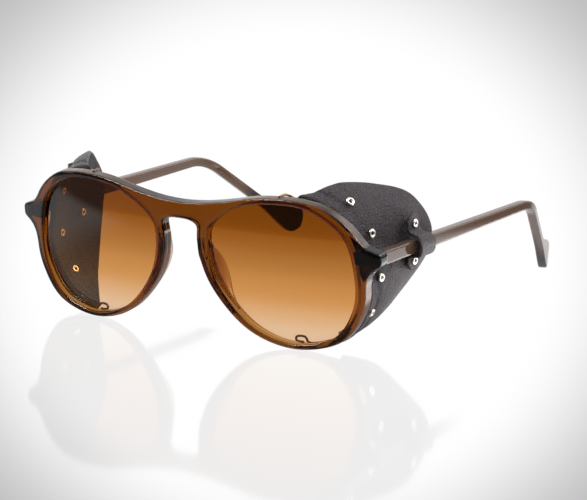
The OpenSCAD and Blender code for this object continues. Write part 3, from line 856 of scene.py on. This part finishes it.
def tube(path, radius):
    """Rings of a round wire along a path."""
    way = unit(np.gradient(path, axis=0))
    rings, side = [], np.array([0.3, 0.2, 1.0])
    for p, w in zip(path, way):
        side = unit(side - np.dot(side, w) * w)
        other = np.cross(w, side)
        rings.append([p + radius * (math.cos(a) * side + math.sin(a) * other)
                      for a in np.linspace(0, 2 * math.pi, WIRE_SIDES, endpoint=False)])
    return np.array(rings)


hooks = [np.stack(leaning(p[:, 0], p[:, 2], FRONT_T + p[:, 1]), 1)
         for p in (np.array(TOP_HOOK), np.array(LOW_LOOP))]
knots = np.vstack([hooks[0], hem_points(np.arange(0, WIRE_TO, WIRE_STEP)), hooks[1]])
wire_line = spline(knots, np.linspace(0, len(knots) - 1, 4 * len(knots)))
for name, side in SIDES.items():
    points, faces = skin([mirrored(r, side) for r in tube(wire_line, WIRE_R)])
    wire = new_object(f"wire_{name}", points, faces, bronze)
    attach(wire, "front")
    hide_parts(f"shield_wire_{name}")
    tell(wire)

# %% [markdown]
# ## Straps
# A strap ties the shield to the temple: two round tabs riveted to the leather, and a
# loose arch over the arm. A ribbon with Solidify and Bevel would be close, but its round
# tabs would have to be drawn by hand. So a thin section is swept along the arch, with
# a width for each distance along it.

# %% Line of the strap
STRAP_BACK, STRAP_X, TAB_UP, TAB_LOW, TAB_R, STRAP_W = 33.0, 65.15, 14.9, 3.0, 3.3, 8.5
STRAP_LINE = [(65.75, 18.2), (65.75, 15.7), (65.8, 13.6), (66.4, 12.4), (68, 11.6), (69.9, 11.1), (71.05, 9.8),
              (71.25, 7.9), (70.8, 6.1), (69.5, 5.2), (67.5, 4.95), (66.2, 4.3), (65.8, 3.3), (65.75, 1.9),
              (65.75, -0.3)]
LINE_STEPS, TAB_STEPS, ARCH_STEPS = 160, 12, 110
line = spline(STRAP_LINE, np.linspace(0, len(STRAP_LINE) - 1, LINE_STEPS))
steps = np.concatenate([[0], np.cumsum(np.linalg.norm(np.diff(line, axis=0), axis=1))])
strap_len = steps[-1]
ends = TAB_R * (1 - np.cos(np.linspace(0, math.pi / 2, TAB_STEPS)))[:-1]
at = np.concatenate([ends, np.linspace(TAB_R, strap_len - TAB_R, ARCH_STEPS), strap_len - ends[::-1]])
line = np.stack([np.interp(at, steps, line[:, k]) for k in (0, 1)], 1)
way = unit(np.gradient(line, axis=0))
print(f"a strap is {strap_len:.1f} mm long")

# %% Strap meshes
STRAP_T, STRAP_EDGE, WIDEN_OVER = 1.1, 0.3, 4


def strap_half_width(run):
    """Half width at a distance along the strap."""
    tab = min(run, strap_len - run)
    middle = TAB_R + (STRAP_W / 2 - TAB_R) * max(0, min(1, (tab - 2 * TAB_R) / WIDEN_OVER)) ** 2
    return math.sqrt(max(0.02, TAB_R**2 - (TAB_R - tab) ** 2)) if tab < TAB_R else middle


for name, side in SIDES.items():
    rings = []
    for (x, z), (wx, wz), run in zip(line, way, at):
        half, t = strap_half_width(run), STRAP_T / 2
        edge = min(STRAP_EDGE, half / 3)
        across = [(-half + edge, -t), (half - edge, -t), (half, -t + edge), (half, t - edge),
                  (half - edge, t), (-half + edge, t), (-half, t - edge), (-half, -t + edge)]
        rings.append([(x + n * -wz, STRAP_BACK + v, z + n * wx) for v, n in across])
    points, faces = skin([mirrored(r, side) for r in rings])
    strap = new_object(f"strap_{name}", points, faces, leather)
    weigh_normals(strap)
    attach(strap, f"temple_{name}")
    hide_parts(f"shield_strap_{name}")
    tell(strap)

# %% [markdown]
# ## Eyelets
# An eyelet is a short metal tube, rolled over at both ends and pressed through the
# leather. Twelve are needed, and copies made by hand would have to be edited one by
# one. So one node group sets an eyelet on each point of a small mesh, turned to the
# point's own axis. The instances are made real and kept as plain meshes.

# %% Eyelet node group
RING_STEPS, ROLL_STEPS, CLINCH_SCALE = 40, 14, (0.88, 0.88, 0.6)
group = bpy.data.node_groups.new("eyelets", "GeometryNodeTree")
nodes, link = group.nodes, group.links.new
sizes = {}
group.interface.new_socket("Geometry", in_out="INPUT", socket_type="NodeSocketGeometry")
for key, kind in (("Ring radius", "Float"), ("Roll radius", "Float"), ("Shank radius", "Float"),
                  ("Shank length", "Float"), ("Metal", "Material")):
    sizes[key] = group.interface.new_socket(key, in_out="INPUT", socket_type=f"NodeSocket{kind}").identifier
group.interface.new_socket("Geometry", in_out="OUTPUT", socket_type="NodeSocketGeometry")
source, out = nodes.new("NodeGroupInput"), nodes.new("NodeGroupOutput")
print("inputs:", ", ".join(sizes))

# %% Ring, shank and clinched back
def circle(radius, steps):
    node = nodes.new("GeometryNodeCurvePrimitiveCircle")
    node.inputs["Resolution"].default_value = steps
    link(source.outputs[radius], node.inputs["Radius"])
    return node.outputs["Curve"]


def lowered(geometry, share):
    """Moved down by a share of the shank's length."""
    sink = nodes.new("ShaderNodeMath")
    sink.operation = "MULTIPLY"
    sink.inputs[1].default_value = -share
    link(source.outputs["Shank length"], sink.inputs[0])
    down = nodes.new("ShaderNodeCombineXYZ")
    link(sink.outputs[0], down.inputs["Z"])
    move = nodes.new("GeometryNodeTransform")
    link(geometry, move.inputs["Geometry"])
    link(down.outputs[0], move.inputs["Translation"])
    return move


torus = nodes.new("GeometryNodeCurveToMesh")
link(circle("Ring radius", RING_STEPS), torus.inputs["Curve"])
link(circle("Roll radius", ROLL_STEPS), torus.inputs["Profile Curve"])
shank = nodes.new("GeometryNodeMeshCylinder")
shank.fill_type = "NONE"
shank.inputs["Vertices"].default_value = RING_STEPS
link(source.outputs["Shank radius"], shank.inputs["Radius"])
link(source.outputs["Shank length"], shank.inputs["Depth"])
middle = lowered(shank.outputs["Mesh"], 0.5)
clinch = lowered(torus.outputs["Mesh"], 1.0)
clinch.inputs["Scale"].default_value = CLINCH_SCALE
eyelet = nodes.new("GeometryNodeJoinGeometry")
for part in (torus.outputs["Mesh"], clinch.outputs["Geometry"], middle.outputs["Geometry"]):
    link(part, eyelet.inputs[0])
print(len(nodes), "nodes make one eyelet")

# %% One eyelet on each point
axis = nodes.new("GeometryNodeInputNamedAttribute")
axis.data_type = "FLOAT_VECTOR"
axis.inputs["Name"].default_value = "axis"
align = nodes.new("FunctionNodeAlignRotationToVector")
align.axis = "Z"
link(axis.outputs["Attribute"], align.inputs["Vector"])
dots = nodes.new("GeometryNodeMeshToPoints")
link(source.outputs["Geometry"], dots.inputs["Mesh"])
place = nodes.new("GeometryNodeInstanceOnPoints")
link(dots.outputs["Points"], place.inputs["Points"])
link(eyelet.outputs[0], place.inputs["Instance"])
link(align.outputs["Rotation"], place.inputs["Rotation"])
real = nodes.new("GeometryNodeRealizeInstances")
link(place.outputs["Instances"], real.inputs["Geometry"])
smooth = nodes.new("GeometryNodeSetShadeSmooth")
link(real.outputs["Geometry"], smooth.inputs["Geometry"])
paint = nodes.new("GeometryNodeSetMaterial")
link(smooth.outputs["Geometry"], paint.inputs["Geometry"])
link(source.outputs["Metal"], paint.inputs["Material"])
link(paint.outputs["Geometry"], out.inputs["Geometry"])
print(len(nodes), "nodes in the group")

# %% Eyelets on the hems and the straps
EYELET_R, ROLL_R, FLANGE_UP, PIERCE_R = 1.5, 0.5, 0.12, 1.15
HEM_SHANK, STRAP_SHANK = 2.6, 3.6
HEM_SPOTS = {"left": [(1.72, 5.43), (3.1, 5.91), (4.76, 4.63), (6.33, 2.3)],
             "right": [(1.8, 6.3), (3.0, 4.6), (4.95, 5.21), (6.71, 6.0)]}


def eyelets(name, places, axes, shank_length):
    """Eyelets with their flanges at the given places."""
    mesh = bpy.data.meshes.new(name)
    mesh.from_pydata([tuple(p) for p in places], [], [])
    mesh.attributes.new("axis", "FLOAT_VECTOR", "POINT").data.foreach_set("vector", np.ravel(axes))
    obj = add(name, mesh)
    maker = obj.modifiers.new("eyelets", "NODES")
    maker.node_group = group
    for key, value in (("Ring radius", EYELET_R - ROLL_R), ("Roll radius", ROLL_R),
                       ("Shank radius", EYELET_R - 1.7 * ROLL_R), ("Shank length", shank_length)):
        maker[sizes[key]] = value * MM
    maker[sizes["Metal"]] = nickel
    bake(obj)
    tell(obj)
    return obj


def pierce(obj, centres):
    """Faces inside the eyelets' shanks are removed."""
    bm = bmesh.new()
    bm.from_mesh(obj.data)
    inside = [f for f in bm.faces
              if any((f.calc_center_median() - Vector(c)).length < PIERCE_R * MM for c in centres)]
    bmesh.ops.delete(bm, geom=inside, context="FACES")
    bm.to_mesh(obj.data)
    bm.free()


for name, side in SIDES.items():
    j, e = np.array(HEM_SPOTS[name]).T
    outside = leather_frame(j, name)[3] * (side, 1, 1)
    spots = mirrored(leather_points(j, e, np.full(len(j), LEATHER / 2 + FLANGE_UP), name), side)
    hem = eyelets(f"hem_rings_{name}", spots, outside, HEM_SHANK)
    bend_with_arm(hem)
    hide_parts(f"hem_eyelets_{name}")
    inner = mirrored(leather_points(j, e, np.full(len(j), -LEATHER / 2), name), side)
    pierce(bpy.data.objects[f"leather_panel_{name}"], inner)
    spots = mirrored([(STRAP_X + LEATHER + FLANGE_UP, STRAP_BACK, up) for up in (TAB_UP, TAB_LOW)], side)
    tabs = eyelets(f"strap_rings_{name}", spots, [(side, 0, 0)] * 2, STRAP_SHANK)
    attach(tabs, f"temple_{name}")
    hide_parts(f"strap_eyelets_{name}")

# %% [markdown]
# ## Studio
# The glasses stand on a white table that fades to grey and mirrors them faintly. Lamps
# and cards could light it, but each would also brighten the object. So the table glows
# by itself, and Light Path tells apart what the camera, a reflection and a look through
# clear plastic meet there. Polished edges then find light and dark places.

# %% Table
TABLE_R, TABLE_UP = 6.0, -0.0001
mesh = bpy.data.meshes.new("table")
mesh.from_pydata([(x * TABLE_R, y * TABLE_R, TABLE_UP) for x, y in ((-1, -1), (1, -1), (1, 1), (-1, 1))],
                 [], [(0, 1, 2, 3)])
table = add("table", mesh)
table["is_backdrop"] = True
white = bpy.data.materials.new("table_white")
white.use_nodes = True
mesh.materials.append(white)
print("table", 2 * TABLE_R, "m wide")

# %% Sums of nodes
def value(tree, operation, first, second):
    """A Math node; operands are numbers or other nodes' outputs."""
    node = tree.nodes.new("ShaderNodeMath")
    node.operation = operation
    for socket, operand in zip(node.inputs, (first, second)):
        if isinstance(operand, (int, float)):
            socket.default_value = operand
        else:
            tree.links.new(operand, socket)
    return node.outputs[0]


def product(tree, *factors):
    """All factors multiplied."""
    result = factors[0]
    for factor in factors[1:]:
        result = value(tree, "MULTIPLY", result, factor)
    return result


def between(tree, fac, low, high, start, end):
    """A smooth step from one value to another."""
    node = tree.nodes.new("ShaderNodeMapRange")
    node.interpolation_type = "SMOOTHSTEP"
    for key, number in (("From Min", low), ("From Max", high), ("To Min", start), ("To Max", end)):
        node.inputs[key].default_value = number
    tree.links.new(fac, node.inputs["Value"])
    return node.outputs["Result"]


def mix(tree, fac, first, second):
    """first * (1 - fac) + second * fac"""
    rest = value(tree, "SUBTRACT", 1.0, fac)
    return value(tree, "ADD", product(tree, first, rest), product(tree, second, fac))


def ray_kinds(tree):
    """1 for reflections, and 1 for looks through clear pieces."""
    path = tree.nodes.new("ShaderNodeLightPath")
    through = path.outputs["Is Transmission Ray"]
    return product(tree, path.outputs["Is Glossy Ray"], value(tree, "SUBTRACT", 1.0, through)), through


print(len(white.node_tree.nodes), "nodes in a new material")

# %% Pool of light on the table
CAM_AZ = math.radians(33.14)
POOL_AT, POOL_FAR, POOL_W, POOL_L = (-0.025, 0.03), 1.05, 0.098, 0.37
POOL_FADE, POOL_EDGE = (0.85, 1.5), 0.5
tree = white.node_tree
turn = tree.nodes.new("ShaderNodeMapping")
turn.vector_type = "TEXTURE"
turn.inputs["Location"].default_value = (*POOL_AT, 0)
turn.inputs["Rotation"].default_value = (0, 0, CAM_AZ)
tree.links.new(object_place(tree), turn.inputs["Vector"])
x, y, _ = parts(tree, turn.outputs[0])
away = value(tree, "MAXIMUM", value(tree, "ADD", y, POOL_FAR), 0.1)
across, along = value(tree, "DIVIDE", x, away), value(tree, "DIVIDE", y, away)
wide = value(tree, "POWER", value(tree, "DIVIDE", across, POOL_W), 2.0)
long = value(tree, "POWER", value(tree, "DIVIDE", along, POOL_L), 2.0)
reach = value(tree, "SQRT", value(tree, "ADD", wide, long), 0.0)
pool = between(tree, reach, *POOL_FADE, 1.0, POOL_EDGE)
print("pool round", POOL_AT)

# %% What reflections meet on the table
# A band is where a change begins and ends, in metres, and the values before and after.
BACKDROP, SIDE_CARD, FAR_SIDE = 1.0, 4.5, 0.2
AHEAD_X, AHEAD_Y, AHEAD_END = (-0.13, -0.08, 0.8, 0.2), (-0.155, -0.135, 0.2, 1.0), (-0.075, -0.01, 0.0, 1.0)
CARD_IN, CARD_OUT, CARD_END = (0.07, 0.085, 0.0, 1.0), (0.115, 0.135, 1.0, 0.35), (0.075, 0.12, 1.0, 0.0)
FAR_X, FAR_Y = (0.07, 0.1, 0.0, 1.0), (0.08, 0.14, BACKDROP, FAR_SIDE)
x, y, _ = parts(tree, object_place(tree))
ahead_card = product(tree, between(tree, x, *AHEAD_X), between(tree, y, *AHEAD_Y))
beside = product(tree, between(tree, x, *CARD_IN), between(tree, x, *CARD_OUT), between(tree, y, *CARD_END))
far_side = mix(tree, between(tree, x, *FAR_X), BACKDROP, between(tree, y, *FAR_Y))
seen = mix(tree, between(tree, y, *AHEAD_END), ahead_card, mix(tree, beside, far_side, SIDE_CARD))
print("side card", SIDE_CARD)

# %% Table material
SHEEN, SHEEN_SLANT, SHEEN_ROUGH, FRONT_DARK = 0.16, 0.12, 0.07, 0.12
SHEEN_SIDE, SHEEN_FAR, SHEEN_NEAR = (0.045, 0.06, SHEEN, 0.0), (-0.064, -0.056, 1.0, 0.0), (-0.3, -0.22, 0.0, 1.0)
IN_FRONT = (-0.13, -0.085, FRONT_DARK, 1.0)
ahead = value(tree, "SUBTRACT", y, product(tree, x, SHEEN_SLANT))
sheen = product(tree, between(tree, across, *SHEEN_SIDE), between(tree, ahead, *SHEEN_FAR),
                between(tree, y, *SHEEN_NEAR))
in_front = between(tree, y, *IN_FRONT)
reflected, through = ray_kinds(tree)
own = value(tree, "SUBTRACT", pool, product(tree, sheen, BACKDROP))
own = product(tree, own, mix(tree, through, 1.0, in_front))
glow = tree.nodes.new("ShaderNodeEmission")
tree.links.new(mix(tree, reflected, own, seen), glow.inputs["Strength"])
gloss = tree.nodes.new("ShaderNodeBsdfGlossy")
gloss.inputs["Roughness"].default_value = SHEEN_ROUGH
tree.links.new(sheen, gloss.inputs["Color"])
both = tree.nodes.new("ShaderNodeAddShader")
for node, socket in zip((glow, gloss), both.inputs):
    tree.links.new(node.outputs[0], socket)
tree.links.new(both.outputs[0], tree.nodes["Material Output"].inputs["Surface"])
print(len(tree.nodes), "nodes in the table")

# %% [markdown]
# ## Surround, lamps and camera
# A photographer's tent is white all round. A dome of mesh could stand for it, but the
# world does the same with less. Reflections alone meet a bright patch high at one side.
# Two soft lamps add glints. The camera was solved from mirrored points of the front.

# %% Surround
SURROUND, HIGH_CARD = 0.9, 3.0
HIGH_X, HIGH_Y, HIGH_Z = (0.0, 0.25, 0.0, HIGH_CARD - BACKDROP), (0.4, 0.7, 0.0, 1.0), (0.3, 0.5, 0.0, 1.0)
FROM_FRONT, FROM_BELOW = (-0.6, 0.0, FRONT_DARK, SURROUND), (-0.4, 0.8, 0.05, BACKDROP)
world = bpy.data.worlds.new("surround")
world.use_nodes = True
tree = world.node_tree
x, y, z = parts(tree, object_place(tree))
side_light = between(tree, value(tree, "ADD", y, z), *FROM_BELOW)
high_card = product(tree, between(tree, x, *HIGH_X), between(tree, z, *HIGH_Z), between(tree, y, *HIGH_Y))
side_light = value(tree, "ADD", side_light, high_card)
front_light = between(tree, y, *FROM_FRONT)
reflected, through = ray_kinds(tree)
sky = tree.nodes["Background"].inputs
tree.links.new(mix(tree, reflected, mix(tree, through, SURROUND, front_light), side_light), sky["Strength"])
sky["Color"].default_value = (1, 1, 1, 1)
bpy.context.scene.world = world
print(len(tree.nodes), "nodes in the surround")

# %% Lamps
def soft_light(name, place, size, power, target=(0, 0, 0.02)):
    """A square area lamp that clear pieces don't show."""
    data = bpy.data.lights.new(name, "AREA")
    data.shape, data.size, data.energy = "SQUARE", size, power
    lamp = add(name, data)
    lamp.location = place
    lamp.rotation_euler = (Vector(target) - Vector(place)).to_track_quat("-Z", "Y").to_euler()
    lamp.visible_transmission = False
    print(name, "lamp of", power, "W")


soft_light("key", (-0.5, -0.5, 0.9), 0.5, 6)
soft_light("rim", (0.7, 0.4, 0.7), 0.4, 4)

# %% Camera
CAM_EL, CAM_AWAY, CAM_ASIDE, CAM_UP, AIM_UP = math.radians(13.17), 0.97467, 0.03557, 0.0031, 1.05
right = Vector((math.cos(CAM_AZ), math.sin(CAM_AZ), 0))
back = Vector((math.sin(CAM_AZ) * math.cos(CAM_EL), -math.cos(CAM_AZ) * math.cos(CAM_EL), math.sin(CAM_EL)))
up = back.cross(right)
aim = Vector(row(0.0, 0.0, AIM_UP))
data = bpy.data.cameras.new("camera")
data.lens, data.sensor_width, data.clip_start = 188.3, 36, 0.05
camera = add("camera", data)
turn = Matrix((right, up, back)).transposed().to_4x4()
camera.matrix_world = Matrix.Translation(aim + CAM_ASIDE * right + CAM_UP * up + CAM_AWAY * back) @ turn
bpy.context.scene.camera = camera
bpy.context.scene.view_settings.view_transform = "Standard"
print("camera lens", round(data.lens, 1), "mm")

# %% [markdown]
# ## Finish
# The dressed glasses should be about as large as the CAD part. The box round all
# shown pieces is worked out below.

# %% Box round the dressed glasses, and finish
low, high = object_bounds()
